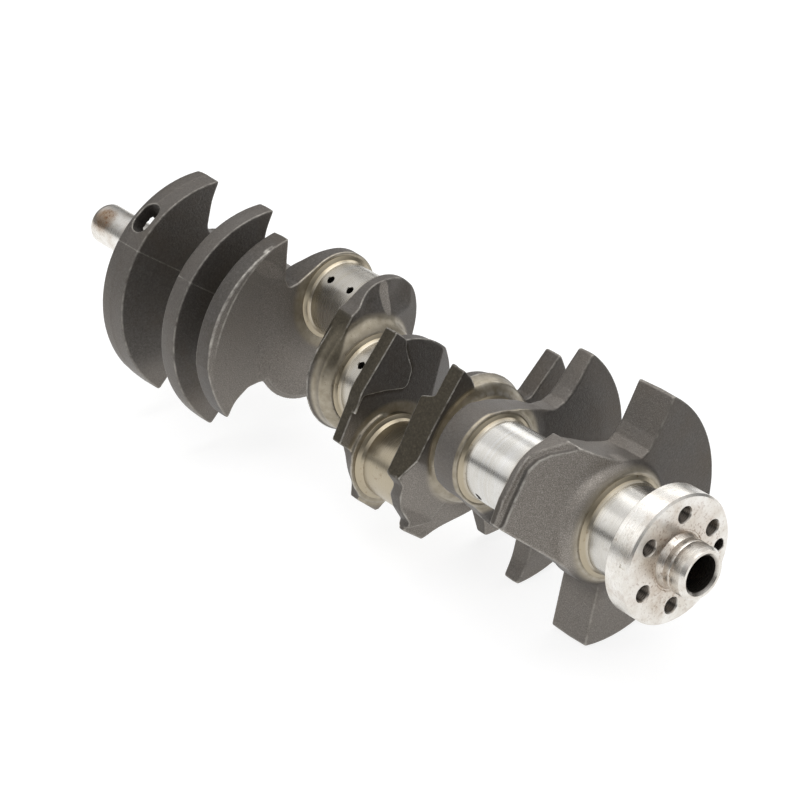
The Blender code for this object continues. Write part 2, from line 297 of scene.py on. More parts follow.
FOURTH_WEB = rounded(
    arc(37.8, 150, 322)
    + arc(31.4, -24, 118, pin_centre(2))
    + [(-4.0, 50.5, 4.0), (-11.5, 47.5, 1.2), (-25.0, 29.5, 5.0)]
)
FIFTH_PLATE = rounded(
    [(12.0, -40.0, 8.0), (33.0, -8.0, 12.0)]
    + [(*on_circle(32.0 + 0.185 * (angle - 12), angle), 0.0) for angle in range(12, 93, 4)]
    + [(-6.5, 47.5, 3.0), (-10.5, 52.0, 2.0)]
    + [(-15.5, 56.5, 0.8), (-24.0, 46.5, 20), (-44.0, 23.0, 14), (-47.0, 15.0, 10)]
    + [(-59.0, -8.0, 1.2), (-50.5, -16.0, 2.0), (-48.0, -27.0, 3.0), (-44.0, -43.0, 2.0)]
    + [(-45.0, -53.5, 1.2), (-30.0, -67.0, 1.2)]
    + arc(32.5, -92, -40, pin_centre(3))
)
FIFTH_PAD = rounded(
    [(-3.5, 27.5, 1.5), (-7.5, 40.0, 6.0), (-8.5, 58.0, 0), (-24.0, 60.0, 0), (-60.0, 20.0, 0)]
    + [(-48.0, 10.0, 0), (-42.0, 21.0, 3.0), (-25.0, 19.0, 6.0), (-7.5, 15.0, 5.0)]
)
SIXTH_PLATE = rounded(
    fan(INNER_RIM, -79.0, 27.5)
    + [(55, 22.5, 20), (46, 14.0, 5.0), (40, 14, 6.0)]
    + arc(40.5, 30, 94)
    + [(-9.5, 50.0, 3.0), (-15.0, 56.6, 1.0), (-27.7, 40.0, 0), (-40.0, 24.0, 0), (-50.0, 9.0, 10.0)]
    + [(-61.0, -4.5, 2.0), (-56.0, -13.0, 4.0), (-55.5, -22.0, 3.0), (-53.0, -33.0, 5.0)]
    + [(-47.0, -44.0, 2.0), (-49.0, -50.5, 1.2), (-34.5, -62.0, 1.2), (-29.5, -61.0, 3.0)]
    + [(-15.5, -56.0, 6.0), (-1.0, -51.0, 4.0), (6.0, -46.0, 6.0)]
)
BLADE = rounded(
    [(-5.0, 40.0, 4.0), (-9.0, 48.0, 4.0), (-9.5, 52.0, 1.0), (-15.0, 57.0, 0.8), (-27.5, 40.0, 20)]
    + [(-40.0, 24.0, 20), (-50.0, 9.0, 10.0), (-68.0, -9.0, 0), (-68.0, -45.0, 0), (-30.0, -50.0, 0)]
    + [(0.0, 10.0, 4.0)]
)


def draft(flat, x, parting, slope):
    """Pulls an outline in with distance from its parting plane, as a cast side leans."""
    return flat + slope * np.abs(x - parting)


def hub_boss(x, y, z, low, high, radius, flare, side, lip, slope=1.2):
    """A round boss with a flared foot, and with a face that opens out as a cone from radius lip.

    side is -1 for a face at the low end and +1 for one at the high end.
    """
    foot = high - x if side < 0 else x - low
    behind = x - low if side < 0 else high - x
    wide = smooth_min(radius + flare * np.exp(-np.clip(foot, 0, 40) / 2.5), lip + slope * behind, 4.0)
    return smooth_max(away(y, z) - wide, slab(x, low, high), 0.8)


def web_1(x, y, z):
    low, high = WEB_ENDS["web_1"]
    flat = draft(polygon(y, z, OUTER_WEB_TURNED), x, -196.0, 0.03)
    body = block(flat, x, low, high, 1.4)
    radius = away(y, z)
    band = smooth_max(flat, 71.0 - radius, 3.0)
    light_side = -48.0
    band = smooth_max(band, toward(y, z, light_side) + 10.0, 1.0)
    body = smooth_min(body, block(band, x, low - 3.2, low + 8.0, 1.4), 0.8)
    outer = 65.0 + 3.5 * ramp(-y, 36.5, 40)
    recess = smooth_max(smooth_max(42.0 - radius, radius - outer, 2.0), x - (low + 3.8), 2.0)
    recess = smooth_max(recess, toward(y, z, light_side) + 16.0, 2.0)
    body = smooth_max(body, -recess, 2.0)
    body = smooth_min(body, block(disc(y, z, 37.0), x, low, high - 4, 1.0), 1.5)
    out = toward(y, z, HOLE_OF_WEB_1)
    across = beside(y, z, HOLE_OF_WEB_1)
    across = across - np.clip(across, -3.9, 3.9)
    drill = np.sqrt((x + 195.5) ** 2 + across ** 2)
    return smooth_max(body, -smooth_max(drill - 7.6, 48.0 - out + 0.3 * drill, 1.0), 0.7)


def web_2(x, y, z):
    low, high = WEB_ENDS["web_2"]
    flat = draft(polygon(y, z, OUTER_WEB_TURNED), x, -128.0, 0.03)
    body = block(flat, x, low + 5.5, high - 0.9, 1.2)
    body = smooth_min(body, hub_boss(x, y, z, low + 5, high, 36.0, 2.0, 1, LIP), 2.5)
    pin = block(disc(y, z, 31.0, pin_centre(1)), x, low, high - 3, 1.5)
    return smooth_min(body, pin, 3.0)


def web_7(x, y, z):
    low, high = WEB_ENDS["web_7"]
    flat = draft(polygon(y, z, OUTER_WEB), x, 129.0, 0.04)
    radius = away(y, z)
    reach = away(y, z, pin_centre(4))
    front = high - 4.2 - 2.0 * ramp(radius, 60, 82) + 2.8 * ramp(reach, 44, 30)
    body = smooth_max(flat, smooth_max(low + 2.0 - x, x - front, 1.0), 1.5)
    body = smooth_min(body, hub_boss(x, y, z, low, high - 6, 37.0, 2.0, -1, LIP), 2.5)
    pin = block(disc(y, z, 30.0, pin_centre(4)), x, low + 4, high, 1.0)
    return smooth_min(body, pin, 3.0)


def web_3(x, y, z):
    low, high = WEB_ENDS["web_3"]
    flat = draft(polygon(y, z, THIRD_WEB), x, -86.0, 0.03)
    lean = toward(y, z, PIN_ANGLES[2])
    back = low + 0.9 + 10.5 * ramp(lean, 34, 66) * ramp(y, -12, 4)
    reach = away(y, z, pin_centre(2))
    front = high - 0.5 - 4.2 * ramp(reach, 31.5, 66.0)
    body = smooth_max(flat, smooth_max(back - x, x - front, 1.0), 1.2)
    crescent = disc(y, z, *CRESCENT)
    bevel = (crescent + (x - front) * 3.0) / 3.2
    body = smooth_max(body, bevel, 0.4)
    return smooth_min(body, hub_boss(x, y, z, low, high - 7, 38.0, 3.0, -1, LIP), 4.0)


def web_6(x, y, z):
    low, high = WEB_ENDS["web_6"]
    flat = draft(polygon(y, z, SIXTH_PLATE), x, 80.0, 0.03)
    lean = toward(y, z, PIN_ANGLES[3])
    front = low + 13.3 - 8.0 * ramp(lean, 36, 66)
    down = -0.604 * (y + 15.0) - 0.797 * (z - 57.0)
    set_back = 10.0 * ramp(down, 27, 22) + 0.09 * np.clip(down - 30.0, 0, 60)
    back = low + set_back * ramp(toward(y, z, 140.0), 26, 34)
    body = smooth_max(flat, smooth_max(back - x, x - front, 1.2), 1.2)
    crest = high - 0.2 - 0.42 * np.clip(down - 62.0, 0, 30)
    blade = smooth_max(np.maximum(polygon(y, z, BLADE), flat), np.maximum(back - x, x - crest), 0.6)
    radius = away(y, z)
    blade = smooth_max(blade, (x - (high - 5.0) - (radius - 36.0) / 1.6) / 1.18, 1.0)
    body = smooth_min(body, blade, 1.5)
    return smooth_min(body, hub_boss(x, y, z, low + 9, high, 40.0, 3.0, 1, LIP, 2.4), 3.0)


def web_4(x, y, z):
    low, high = WEB_ENDS["web_4"]
    flat = draft(polygon(y, z, FOURTH_WEB), x, -32.8, 0.10)
    lean = toward(y, z, PIN_ANGLES[2])
    front = -18.6 - 7.0 * ramp(lean, 36, 57) - 2.6 * ramp(y, 24, 43)
    scoop = np.exp(-((y - 3.0) / 9.0) ** 2 - ((z - 50.0) / 9.0) ** 2)
    front = front - 2.8 * scoop - 1.6 * np.exp(-((y - 31.0) / 8.0) ** 2 - ((z - 47.0) / 9.0) ** 2)
    body = smooth_max(flat, smooth_max(low - x, x - front, 0.8), 1.0)
    body = smooth_max(body, (x + 28.0 + 0.42 * (y - 43.5)) / 1.085, 0.4)
    return smooth_min(body, hub_boss(x, y, z, low + 4, high, 38.5, 3.0, 1, LIP, 1.3), 4.5)


def web_5(x, y, z):
    low, high = WEB_ENDS["web_5"]
    flat = draft(polygon(y, z, FIFTH_PLATE), x, 30.0, 0.03)
    body = smooth_max(flat, smooth_max(high - 11.5 - x, x - (high - 3.0), 0.8), 0.8)
    pad = block(smooth_max(polygon(y, z, FIFTH_PAD), flat, 0.5), x, high - 8.0, high - 0.4, 0.5)
    body = smooth_min(body, pad, 0.8)
    body = smooth_min(body, hub_boss(x, y, z, low, high - 5, 38.0, 3.0, -1, LIP), 4.0)
    facet = toward(y, z, -17.0) - 12.5
    body = smooth_max(body, (x - (high - 2.4) + 0.5 * facet) / 1.12, 0.4)
    end = block(disc(y, z, 32.0 - 0.66 * (high - 1 - x), pin_centre(3)), x, low + 5, high - 1, 1.5)
    return smooth_min(body, smooth_max(end, toward(y, z, PIN_ANGLES[2]) + 14.0, 2.0), 4.0)


def web_8(x, y, z):
    low, high = WEB_ENDS["web_8"]
    flat = draft(polygon(y, z, REAR_WEB), x, 198.0, 0.03)
    lean = toward(y, z, PIN_ANGLES[4])
    step = 1.8 * ramp(polygon(y, z, REAR_STEP), -0.8, 0.8)
    front = 212.0 - 0.76 * smooth_max(lean - 33.0, 0.0, 8.0) - step
    front = np.maximum(front, 187.3)
    body = smooth_max(flat, smooth_max(low - x, x - front, 1.0), 1.2)
    return smooth_min(body, hub_boss(x, y, z, 200.0, high, 38.6, 0.0, 1, 33.6, 1.3), 3.5)


WEBS = {
    "web_1": (web_1, (-211, -84, -64), (-180, 66, 84)),
    "web_2": (web_2, (-143, -84, -64), (-117, 66, 84)),
    "web_3": (web_3, (-99, -84, -42), (-72, 55, 84)),
    "web_4": (web_4, (-35, -42, -42), (-9, 56, 64)),
    "web_5": (web_5, (9, -66, -66), (35, 43, 60)),
    "web_6": (web_6, (72, -68, -82), (99, 82, 60)),
    "web_7": (web_7, (117, -66, -84), (143, 84, 66)),
    "web_8": (web_8, (180, -80, -84), (221, 84, 72)),
}


def surface_net(shape, low, high, step):
    """Vertices and quads of the shape's zero surface on a grid, drawn back onto the surface itself."""
    axes = [np.arange(a, b + step, step, dtype=np.float32) for a, b in zip(low, high)]
    field = shape(axes[0][:, None, None], axes[1][None, :, None], axes[2][None, None, :])
    field = field.astype(np.float32)
    inside = field < 0
    cells = tuple(n - 1 for n in field.shape)
    corners = np.zeros(cells, np.int8)
    for i in (0, 1):
        for j in (0, 1):
            for k in (0, 1):
                corners += inside[i : i + cells[0], j : j + cells[1], k : k + cells[2]]
    mixed = (corners > 0) & (corners < 8)
    index = np.full(cells, -1, np.int64)
    count = int(mixed.sum())
    index[mixed] = np.arange(count)
    total = np.zeros((count, 3))
    hits = np.zeros(count)
    quads = []
    for axis in range(3):
        take = [slice(None)] * 3
        take[axis] = slice(0, -1)
        after = [slice(None)] * 3
        after[axis] = slice(1, None)
        near, far = field[tuple(take)], field[tuple(after)]
        crossing = np.argwhere(inside[tuple(take)] != inside[tuple(after)])
        a = near[tuple(crossing.T)]
        b = far[tuple(crossing.T)]
        spots = crossing.astype(float)
        spots[:, axis] += a / (a - b)
        one, two = [other for other in range(3) if other != axis]
        around = []
        for p, q in ((0, 0), (1, 0), (1, 1), (0, 1)):
            cell = crossing.copy()
            cell[:, one] -= p
            cell[:, two] -= q
            fits = ((cell >= 0) & (cell < np.array(cells))).all(1)
            number = np.full(len(cell), -1, np.int64)
            number[fits] = index[tuple(cell[fits].T)]
            around.append(number)
            good = number >= 0
            for part in range(3):
                total[:, part] += np.bincount(number[good], spots[good, part], count)
            hits += np.bincount(number[good], minlength=count)
        ring = np.stack(around, 1)
        flip = (a > 0) ^ (axis == 1)
        ring[flip] = ring[flip][:, ::-1]
        quads.append(ring[(ring >= 0).all(1)])
    points = total / hits[:, None] * step + np.array([axis[0] for axis in axes])
    tiny = 0.05
    for _ in range(3):
        x, y, z = points.T
        value = shape(x, y, z)
        beyond = [shape(x + tiny, y, z), shape(x, y + tiny, z), shape(x, y, z + tiny)]
        slope = np.stack([after - value for after in beyond], 1) / tiny
        length = np.maximum((slope ** 2).sum(1), 0.05)
        move = -slope * (value / length)[:, None]
        size = np.maximum(np.sqrt((move ** 2).sum(1)), SMALL)
        points = points + move * np.minimum(1.0, 0.4 * step / size)[:, None]
    return points, np.concatenate(quads)


def curvature(shape, points, reach):
    """How much the surface bends round each point: positive on an edge, negative in a corner."""
    x, y, z = points.T
    around = shape(x + reach, y, z) + shape(x - reach, y, z)
    around = around + shape(x, y + reach, z) + shape(x, y - reach, z)
    around = around + shape(x, y, z + reach) + shape(x, y, z - reach)
    return around / reach - 6 * shape(x, y, z) / reach


def store(mesh, name, values):
    layer = mesh.attributes.new(name, "FLOAT", "POINT")
    layer.data.foreach_set("value", np.asarray(values, np.float32))


def new_object(name, mesh):
    made = bpy.data.objects.new(name, mesh)
    bpy.context.scene.collection.objects.link(made)
    return made


MAIN_LINE = (0.0, 0.0)
JOURNALS_BESIDE = {
    "web_1": (MAIN_LINE, pin_centre(1)),
    "web_2": (pin_centre(1), MAIN_LINE),
    "web_3": (MAIN_LINE, pin_centre(2)),
    "web_4": (pin_centre(2), MAIN_LINE),
    "web_5": (MAIN_LINE, pin_centre(3)),
    "web_6": (pin_centre(3), MAIN_LINE),
    "web_7": (MAIN_LINE, pin_centre(4)),
    "web_8": (pin_centre(4), MAIN_LINE),
}


def polished_share(name, points, facing):
    """1 on a web's turned rings and cones beside its journals; facing is the normal along x."""
    x, y, z = points.T
    share = np.zeros(len(points))
    for face, centre, side in zip(WEB_ENDS[name], JOURNALS_BESIDE[name], (-1, 1)):
        behind = (face - x) * side
        reach = away(y, z, centre)
        wide = 6.0 if name in ("web_4", "web_6") and centre == MAIN_LINE else 0.0
        near = ramp(reach, 38.5 + wide, 33.5 + wide) * ramp(behind, 10.0 + wide, 6.0 + wide)
        near = near * ramp(facing * side, 0.12 - wide / 30, 0.35 - wide / 30)
        share = np.maximum(share, near)
    return share


def pale_skin_and_painted_light_share(name, points, facing):
    """1 where a web's face is painted lighter and coarser: partly the blasted skin, lighter and coarser
    than the rest, and partly painted light on faces turned along +x towards the camera, on web 8's
    shaded shoulder and on web 4's lens; on some webs rims and low parts are lightened too.
    """
    x, y, z = points.T
    if name == "web_8":
        # painted light: web 8's shoulder beside its boss, which lies in shade, is lightened
        shoulder = ramp(facing, -0.3, 0.0) * ramp(away(y, z), 44.0, 40.0) * ramp(x, 202.0, 205.0)
        face = np.maximum(ramp(facing, 0.4, 0.7), shoulder)
        face = face * ramp(toward(y, z, PIN_ANGLES[4]), 8.0, 24.0)
        rim = 0.35 * ramp(np.abs(facing), 0.4, 0.2) * ramp(z, 20, 35)
        return np.maximum(face, np.maximum(rim, 0.55 * ramp(z, -35, -55)))
    if name == "web_3":
        # painted reflection: web 3's +x face is lighter low down and in an oval patch
        along = (y + 32.0) * 0.814 - (z - 63.0) * 0.581
        across = (y + 32.0) * 0.581 + (z - 63.0) * 0.814
        patch = 0.75 * ramp((along / 14.0) ** 2 + (across / 5.5) ** 2, 1.2, 0.7)
        return ramp(facing, 0.4, 0.75) * np.maximum(0.5 + 0.2 * ramp(z, 60, -10), patch)
    if name in ("web_5", "web_6"):
        return 0.8 * ramp(facing, 0.3, 0.7) * ramp(toward(y, z, PIN_ANGLES[3]), 14.0, 34.0)
    if name == "web_4":
        # painted highlight: web 4's lens-shaped facet
        lens = ((y - 19.7) / 4.2) ** 2 + ((z - 48.5) / 12.0) ** 2
        return ramp(lens, 1.15, 0.85) * ramp(facing, 0.3, 0.6)
    rim = ramp(np.abs(facing), 0.4, 0.2)
    return np.maximum(0.45 * ramp(z, -25, -50), rim * np.maximum(0.25 * ramp(y, 5, 15), 0.18))


def scorched_share(name, points):
    """1 on the long trimmed edges of webs 4, 5 and 6, which are darker and browner than the faces."""
    _, y, z = points.T
    if name == "web_4":
        rim = ramp(polygon(y, z, FOURTH_WEB), -3.4, -2.0)
        return rim * ramp(y, -9.0, -13.0) * ramp(z, 14.0, 24.0)
    if name == "web_5":
        rim = ramp(polygon(y, z, FIFTH_PLATE), -1.3, -0.7)
        return rim * ramp(y, -13.0, -17.0) * ramp(z, -16.0, -8.0)
    if name == "web_6":
        rim = ramp(polygon(y, z, SIXTH_PLATE), -1.9, -1.1)
        return rim * ramp(y, -12.0, -17.0) * ramp(z, -9.0, -5.0)
    return np.zeros(len(points))


def mould_line_and_edge_highlight(name, points):
    """1 along the mould line across webs 1 and 2, a real line on the casting, and along the border and
    rim line of web 3's ground crescent, where it adds to the painted edge highlight.
    """
    x, y, z = points.T
    if name == "web_3":
        crescent = disc(y, z, *CRESCENT)
        inner = 1.5 * ramp(np.abs(crescent + 0.2), 0.9, 0.3) * ramp(x, -85.0, -82.0)
        outer = ramp(np.abs(away(y, z) - 80.2), 1.3, 0.5) * ramp(crescent, -1, 1)
        outer = outer * ramp(x, -83.0, -81.0)
        return np.maximum(inner, outer) * ramp(z, 8, 24)
    if name not in ("web_1", "web_2"):
        return np.zeros(len(points))
    return ramp(np.abs(beside(y, z, 143.5)), 0.8, 0.2) * ramp(toward(y, z, 143.5), 20, 40)


def make_web(name, finish):
    shape, low, high = WEBS[name]
    points, quads = surface_net(shape, low, high, GRID)
    mesh = bpy.data.meshes.new(name + "_casting")
    placed = points * MM + np.array(AXIS)
    mesh.vertices.add(len(placed))
    mesh.vertices.foreach_set("co", placed.astype(np.float32).ravel())
    mesh.loops.add(quads.size)
    mesh.loops.foreach_set("vertex_index", quads.ravel().astype(np.int32))
    mesh.polygons.add(len(quads))
    mesh.polygons.foreach_set("loop_start", np.arange(0, quads.size, 4, dtype=np.int32))
    mesh.polygons.foreach_set("loop_total", np.full(len(quads), 4, np.int32))
    mesh.update(calc_edges=True)
    mesh.validate()
    x, y, z = points.T
    reach = 0.3
    facing = shape(x + reach, y, z) - shape(x - reach, y, z)
    rise = shape(x, y, z + reach) - shape(x, y, z - reach)
    side = shape(x, y + reach, z) - shape(x, y - reach, z)
    facing = facing / np.maximum(np.sqrt(facing ** 2 + rise ** 2 + side ** 2), SMALL)
    # the edge attribute drives a painted highlight on convex edges
    edge = np.clip(curvature(shape, points, EDGE_REACH), -MOST_BEND, MOST_BEND)
    # painted shade: how far the surface bends into a crease or corner, which darkens the colour there
    painted_crease_shade = np.clip(-curvature(shape, points, CREASE_SHADE_REACH), -MOST_BEND, MOST_BEND)
    store(mesh, "edge", edge + MOULD_LINE_AND_HIGHLIGHT_SHARE * mould_line_and_edge_highlight(name, points))
    store(mesh, "painted_crease_shade", painted_crease_shade * (WEB_8_CREASE_SHADE if name == "web_8" else 1.0))
    store(mesh, "polished", polished_share(name, points, facing))
    store(mesh, "scorched", scorched_share(name, points))
    store(mesh, "pale_skin_and_painted_light", pale_skin_and_painted_light_share(name, points, facing))
    mesh.shade_smooth()
    mesh.materials.append(finish)
    made = new_object(name + "_casting", mesh)
    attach(made, "root")
    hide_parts(name)


# ---- turned pieces ----
def with_more_rings(profile):
    """Splits long runs along the shaft, so that the marks on a turned piece have points to lie on."""
    longest_run, smallest_radius = 2.5, 5.5
    done = [profile[0]]
    for (x, radius), (far_x, far_radius) in zip(profile, profile[1:]):
        marked = min(radius, far_radius) > smallest_radius
        count = max(1, ceil(abs(far_x - x) / longest_run)) if marked else 1
        for k in range(1, count + 1):
            done.append((x + (far_x - x) * k / count, radius + (far_radius - radius) * k / count))
    return done


def spun_mesh(name, rings, closed=False):
    """Quads between rings of points. A ring of one point closes an end.

    closed joins the last ring to the first.
    """
    bm = bmesh.new()
    made = [[bm.verts.new(spot) for spot in ring] for ring in rings]
    steps = max(len(ring) for ring in made)
    pairs = list(zip(made, made[1:]))
    if closed:
        pairs.append((made[-1], made[0]))
    for near, far in pairs:
        for k in range(steps):
            after = (k + 1) % steps
            start = [near[k % len(near)], near[after % len(near)]]
            end = [far[after % len(far)], far[k % len(far)]]
            bm.faces.new(dict.fromkeys(start + end))
    bmesh.ops.recalc_face_normals(bm, faces=bm.faces)
    mesh = bpy.data.meshes.new(name)
    bm.to_mesh(mesh)
    bm.free()
    return mesh


def lathe(name, profile, finish, centre=(0.0, 0.0), steps=192, closed=False):
    """A turned piece about a line along x. profile is [(x, radius), ...]."""
    rings = []
    for x, radius in with_more_rings(profile):
        turns = [360 * k / steps for k in range(steps)] if radius else [0.0]
        rings.append([world((x, *on_circle(radius, turn, centre))) for turn in turns])
    mesh = spun_mesh(name, rings, closed)
    mesh.shade_smooth()
    mesh.set_sharp_from_angle(angle=radians(SHARP))
    made = new_object(name, mesh)
    if finish:
        mesh.materials.append(finish)
        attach(made, "root")
    return made


def fillet(x, radius, size, side, steps=6):
    """Points of a concave fillet at a shoulder, with side +1 where the shoulder is on the low side."""
    points = []
    for k in range(steps + 1):
        turn = radians(90 * k / steps)
        points.append((x + side * size * (1 - sin(turn)), radius + size * (1 - cos(turn))))
    return points


def cut(target, cutters):
    """Cuts cutters out of target and bakes the result into its mesh."""
    for cutter in cutters:
        change = target.modifiers.new("cut", "BOOLEAN")
        change.operation = "DIFFERENCE"
        change.solver = "EXACT"
        change.object = cutter
    bpy.context.view_layer.update()
    graph = bpy.context.evaluated_depsgraph_get()
    mesh = bpy.data.meshes.new_from_object(target.evaluated_get(graph))
    target.modifiers.clear()
    old = target.data
    target.data = mesh
    bpy.data.meshes.remove(old)
    mesh.shade_smooth()
    mesh.set_sharp_from_angle(angle=radians(SHARP))
    for cutter in cutters:
        bpy.data.objects.remove(cutter)


def standing_out(x, angle, radius, centre=(0.0, 0.0)):
    """The place of a tool on a round surface, with its own x pointing straight out."""
    out = Vector((0, cos(radians(angle)), sin(radians(angle))))
    side = Vector((1, 0, 0))
    turn = Matrix((out, out.cross(side), side)).transposed()
    spot = world((x, centre[0] + radius * out.y, centre[1] + radius * out.z))
    return Matrix.Translation(spot) @ turn.to_4x4()


def oil_drill(x, angle, surface, centre, radius):
    """A drill with a countersunk mouth, pointing in towards the journal's own axis."""
    deep, chamfer, steps = 14.0, 0.7, 32
    wide = radius + chamfer
    profile = [(-deep, 0), (-deep, radius), (-0.5, radius), (0.5, wide), (3, wide), (3, 0)]
    rings = []
    for depth, reach in profile:
        turns = [2 * pi * k / steps for k in range(steps)] if reach else [0.0]
        rings.append([(depth * MM, reach * MM * cos(turn), reach * MM * sin(turn)) for turn in turns])
    made = new_object("oil_drill", spun_mesh("oil_drill", rings))
    made.matrix_world = standing_out(x, angle, surface, centre)
    return made


def journal(name, start, end, radius, finish, centre, holes):
    """A ground journal with rolled fillets, and a ground thrust ring sunk into the web at each end."""
    wide = radius + THRUST_RING
    size = GROUND_FILLET
    sink = 2.2
    groove = 0.25
    profile = [(start - sink, 0), (start - sink, wide), (start - 0.3, wide), (start, wide - 0.3)]
    profile += fillet(start, radius - groove, size + groove, 1)
    profile += [(start + size + groove + 1.2, radius - groove), (start + size + groove + 1.6, radius)]
    profile += [(end - size - groove - 1.6, radius), (end - size - groove - 1.2, radius - groove)]
    profile += fillet(end, radius - groove, size + groove, -1)[::-1]
    profile += [(end, wide - 0.3), (end + 0.3, wide), (end + sink, wide), (end + sink, 0)]
    made = lathe(name + "_ground", profile, finish, centre)
    if holes:
        cut(made, [oil_drill(x, angle, radius, centre, drill) for x, angle, drill in holes])
    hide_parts(name)
    return made


def threaded_cutter(spot, start, end, radius):
    """A drill with a 60 degree thread along its wall and a countersunk mouth."""
    pitch = 1.5
    profile = [(start - 1, 0), (start - 1, radius)]
    x = start - 1
    while x < end - 1.9:
        profile.append((x + pitch * 0.5, radius + 0.62))
        profile.append((x + pitch, radius))
        x += pitch
    profile += [(end - 1.0, radius + 0.2), (end + 1.0, radius + 1.5), (end + 1.0, 0)]
    return lathe("thread", profile, None, spot, steps=40)


def make_flange(finish):
    low, high = FLANGE
    neck = MAIN_RADIUS + 1.5
    profile = [(low - 1.6, 0), (low - 1.6, neck), (low, neck), (low, FLANGE_RADIUS - 0.8)]
    profile += [(low + 0.8, FLANGE_RADIUS), (high - 1.3, FLANGE_RADIUS), (high, FLANGE_RADIUS - 1.3)]
    profile += [(high, HUB_RADIUS + 2.6), (high - 0.5, HUB_RADIUS + 2.2)]
    profile += [(high - 0.5, HUB_RADIUS - 2.0), (high - 0.5, BORE_RADIUS)]
    profile += [(low + 1.0, BORE_RADIUS), (low - 1.2, 0)]
    made = lathe("flange_turned", profile, finish, steps=240)
    cutters = [threaded_cutter(spot, low + 0.5, high, 4.7) for spot in bolt_spots()]
    dowel = [(low + 4, 0), (low + 4, 3.9), (high - 0.5, 3.9), (high + 0.6, 4.9), (high + 0.6, 0)]
    cutters.append(lathe("dowel", dowel, None, on_circle(*DOWEL), steps=40))
    cutters.append(punch_mark(260.5, 166.7, FLANGE_RADIUS))
    cut(made, cutters)
    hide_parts("rear_flange")
    return made


def punch_mark(x, angle, radius):
    """A small shallow rectangle stamped into the flange's edge."""
    bm = bmesh.new()
    bmesh.ops.create_cube(bm, size=1.0)
    bmesh.ops.scale(bm, vec=(1.2 * MM, 2.4 * MM, 4.2 * MM), verts=bm.verts)
    mesh = bpy.data.meshes.new("punch")
    bm.to_mesh(mesh)
    bm.free()
    made = new_object("punch", mesh)
    made.matrix_world = standing_out(x, angle, radius)
    return made


def make_hub(finish):
    low, high = FLANGE[1] - 0.5, HUB_END
    base = HUB_RADIUS - 0.1
    profile = [(low - 1.5, BORE_RADIUS), (low - 1.5, base)]
    profile += fillet(low, base - 0.2, 1.6, 1, 5)
    profile += [(low + 4.6, base - 0.2), (low + 5.0, HUB_RADIUS), (low + 9.4, HUB_RADIUS)]
    profile += [(low + 9.7, HUB_RADIUS - 0.15), (low + 10.0, HUB_RADIUS)]
    profile += [(high - 2.6, HUB_RADIUS), (high - 0.9, HUB_RADIUS - 1.1)]
    profile += [(high, HUB_RADIUS - 1.5), (high, BORE_RADIUS + 1.7), (high - 1.5, BORE_RADIUS)]
    made = lathe("hub_turned", profile, finish, steps=192, closed=True)
    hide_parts("pilot_hub")
    return made


def make_nose(finish):
    low, high = NOSE_END, main_middle(1) - MAIN_HALF
    profile = [(low + 9, 0), (low + 9, 5.0), (low + 2.0, 5.0), (low, 6.6), (low, NOSE_RADIUS - 1.8)]
    profile += [(low + 0.5, NOSE_RADIUS - 0.6), (low + 1.8, NOSE_RADIUS), (high - 4.0, NOSE_RADIUS)]
    profile += [(high - 2.0, NOSE_RADIUS + 0.5), (high - 0.6, NOSE_RADIUS + 2.0)]
    profile += [(high, NOSE_RADIUS + 3.0), (high + 1.0, NOSE_RADIUS + 3.0), (high + 1.0, 0)]
    made = lathe("nose_turned", profile, finish, steps=160)
    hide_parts("nose_spindle")
    return made


# ---- finishes ----
class Graph:
    """Builds a material's nodes, linking sockets and setting plain values by name."""

    def __init__(self, name):
        self.material = bpy.data.materials.new(name)
        self.material.use_nodes = True
        self.tree = self.material.node_tree
        self.shader = self.tree.nodes["Principled BSDF"]

    def node(self, kind, settings=None, **inputs):
        made = self.tree.nodes.new("ShaderNode" + kind)
        for key, value in (settings or {}).items():
            setattr(made, key, value)
        for key, value in inputs.items():
            self.feed(made.inputs[int(key[1:]) if key[1:].isdigit() else key.replace("_", " ")], value)
        return made

    def feed(self, socket, value):
        if isinstance(value, bpy.types.NodeSocket):
            self.tree.links.new(value, socket)
        elif isinstance(value, bpy.types.Node):
            self.tree.links.new(value.outputs[0], socket)
        else:
            socket.default_value = value

    def place(self, scale):
        spot = self.node("TexCoord").outputs["Object"]
        return self.node("Mapping", Vector=spot, Scale=scale)

    def noise(self, size, detail, rough=0.5, stretch=(1.0, 1.0, 1.0)):
        """Noise whose blotches are about size metres across."""
        where = self.place(stretch)
        made = self.node("TexNoise", Vector=where, Scale=1.0 / size, Detail=detail, Roughness=rough)
        return made.outputs["Fac"]

    def ramp(self, value, *stops):
        made = self.node("ValToRGB", Fac=value)
        band = made.color_ramp
        while len(band.elements) < len(stops):
            band.elements.new(0.5)
        for element, (spot, colour) in zip(band.elements, stops):
            element.position = spot
            element.color = (*colour, 1.0)
        return made.outputs["Color"]

    def scaled(self, value, low, high, to_low=0.0, to_high=1.0):
        made = self.node("MapRange", Value=value)
        made.inputs["From Min"].default_value = low
        made.inputs["From Max"].default_value = high
        made.inputs["To Min"].default_value = to_low
        made.inputs["To Max"].default_value = to_high
        return made.outputs["Result"]

    def math(self, operation, a, b, clamp=False):
        settings = {"operation": operation, "use_clamp": clamp}
        return self.node("Math", settings, _0=a, _1=b).outputs[0]

    def mix(self, share, a, b):
        """Colour a at share 0 and colour b at share 1. Sockets 6 and 7 are the node's colours."""
        made = self.node("Mix", {"data_type": "RGBA"})
        self.feed(made.inputs[0], share)
        for socket, colour in ((6, a), (7, b)):
            self.feed(made.inputs[socket], (*colour, 1.0) if isinstance(colour, tuple) else colour)
        return made.outputs[2]

    def attribute(self, name):
        return self.node("Attribute", {"attribute_name": name}).outputs["Fac"]

    def bump(self, height, distance, strength, under=None):
        made = self.node("Bump", Height=height, Distance=distance, Strength=strength)
        if under is not None:
            self.feed(made.inputs["Normal"], under)
        return made.outputs["Normal"]


